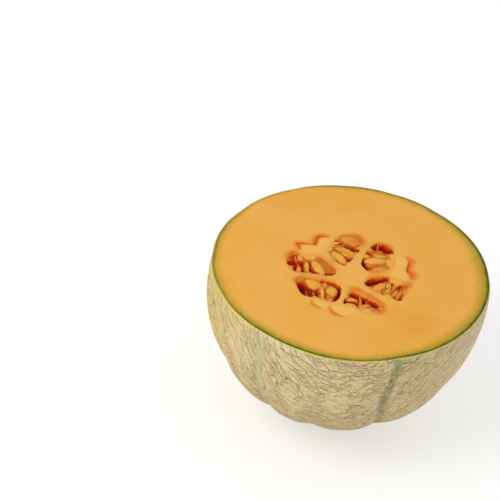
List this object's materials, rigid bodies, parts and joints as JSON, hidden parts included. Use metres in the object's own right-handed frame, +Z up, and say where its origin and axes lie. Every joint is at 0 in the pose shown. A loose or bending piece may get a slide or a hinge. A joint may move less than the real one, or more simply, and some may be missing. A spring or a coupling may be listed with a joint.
{
  "type": "melon half",
  "caption": "Fresh netted melon half, cut across and resting on its rounded underside, with orange flesh, lobed rind and open seed pockets around a fleshy star.",
  "frame": {"origin": "on the surface it rests on, under the middle of the widest ring", "axes": "+Z up, square to the level cut face; +X towards the side that was cut lower on the rind; -Y towards the side shown in the picture"},
  "size_m": [0.1248, 0.1245, 0.0761],
  "materials": {
    "flesh": "moist orange melon flesh with a green line under the rind",
    "rind": "pale cream to grey-green rind under raised beige cork netting",
    "pulp": "wet red-orange pulp in the seed pockets",
    "seed": "wet pale golden seeds in thin sheaths"
  },
  "bodies": {
    "root": {"melon_body": "flesh", "seed_cluster_1": "seed", "seed_cluster_2": "seed", "seed_cluster_3": "seed", "seed_cluster_4": "seed", "seed_cluster_5": "seed", "seed_cluster_6": "seed"}
  },
  "joints": []
}
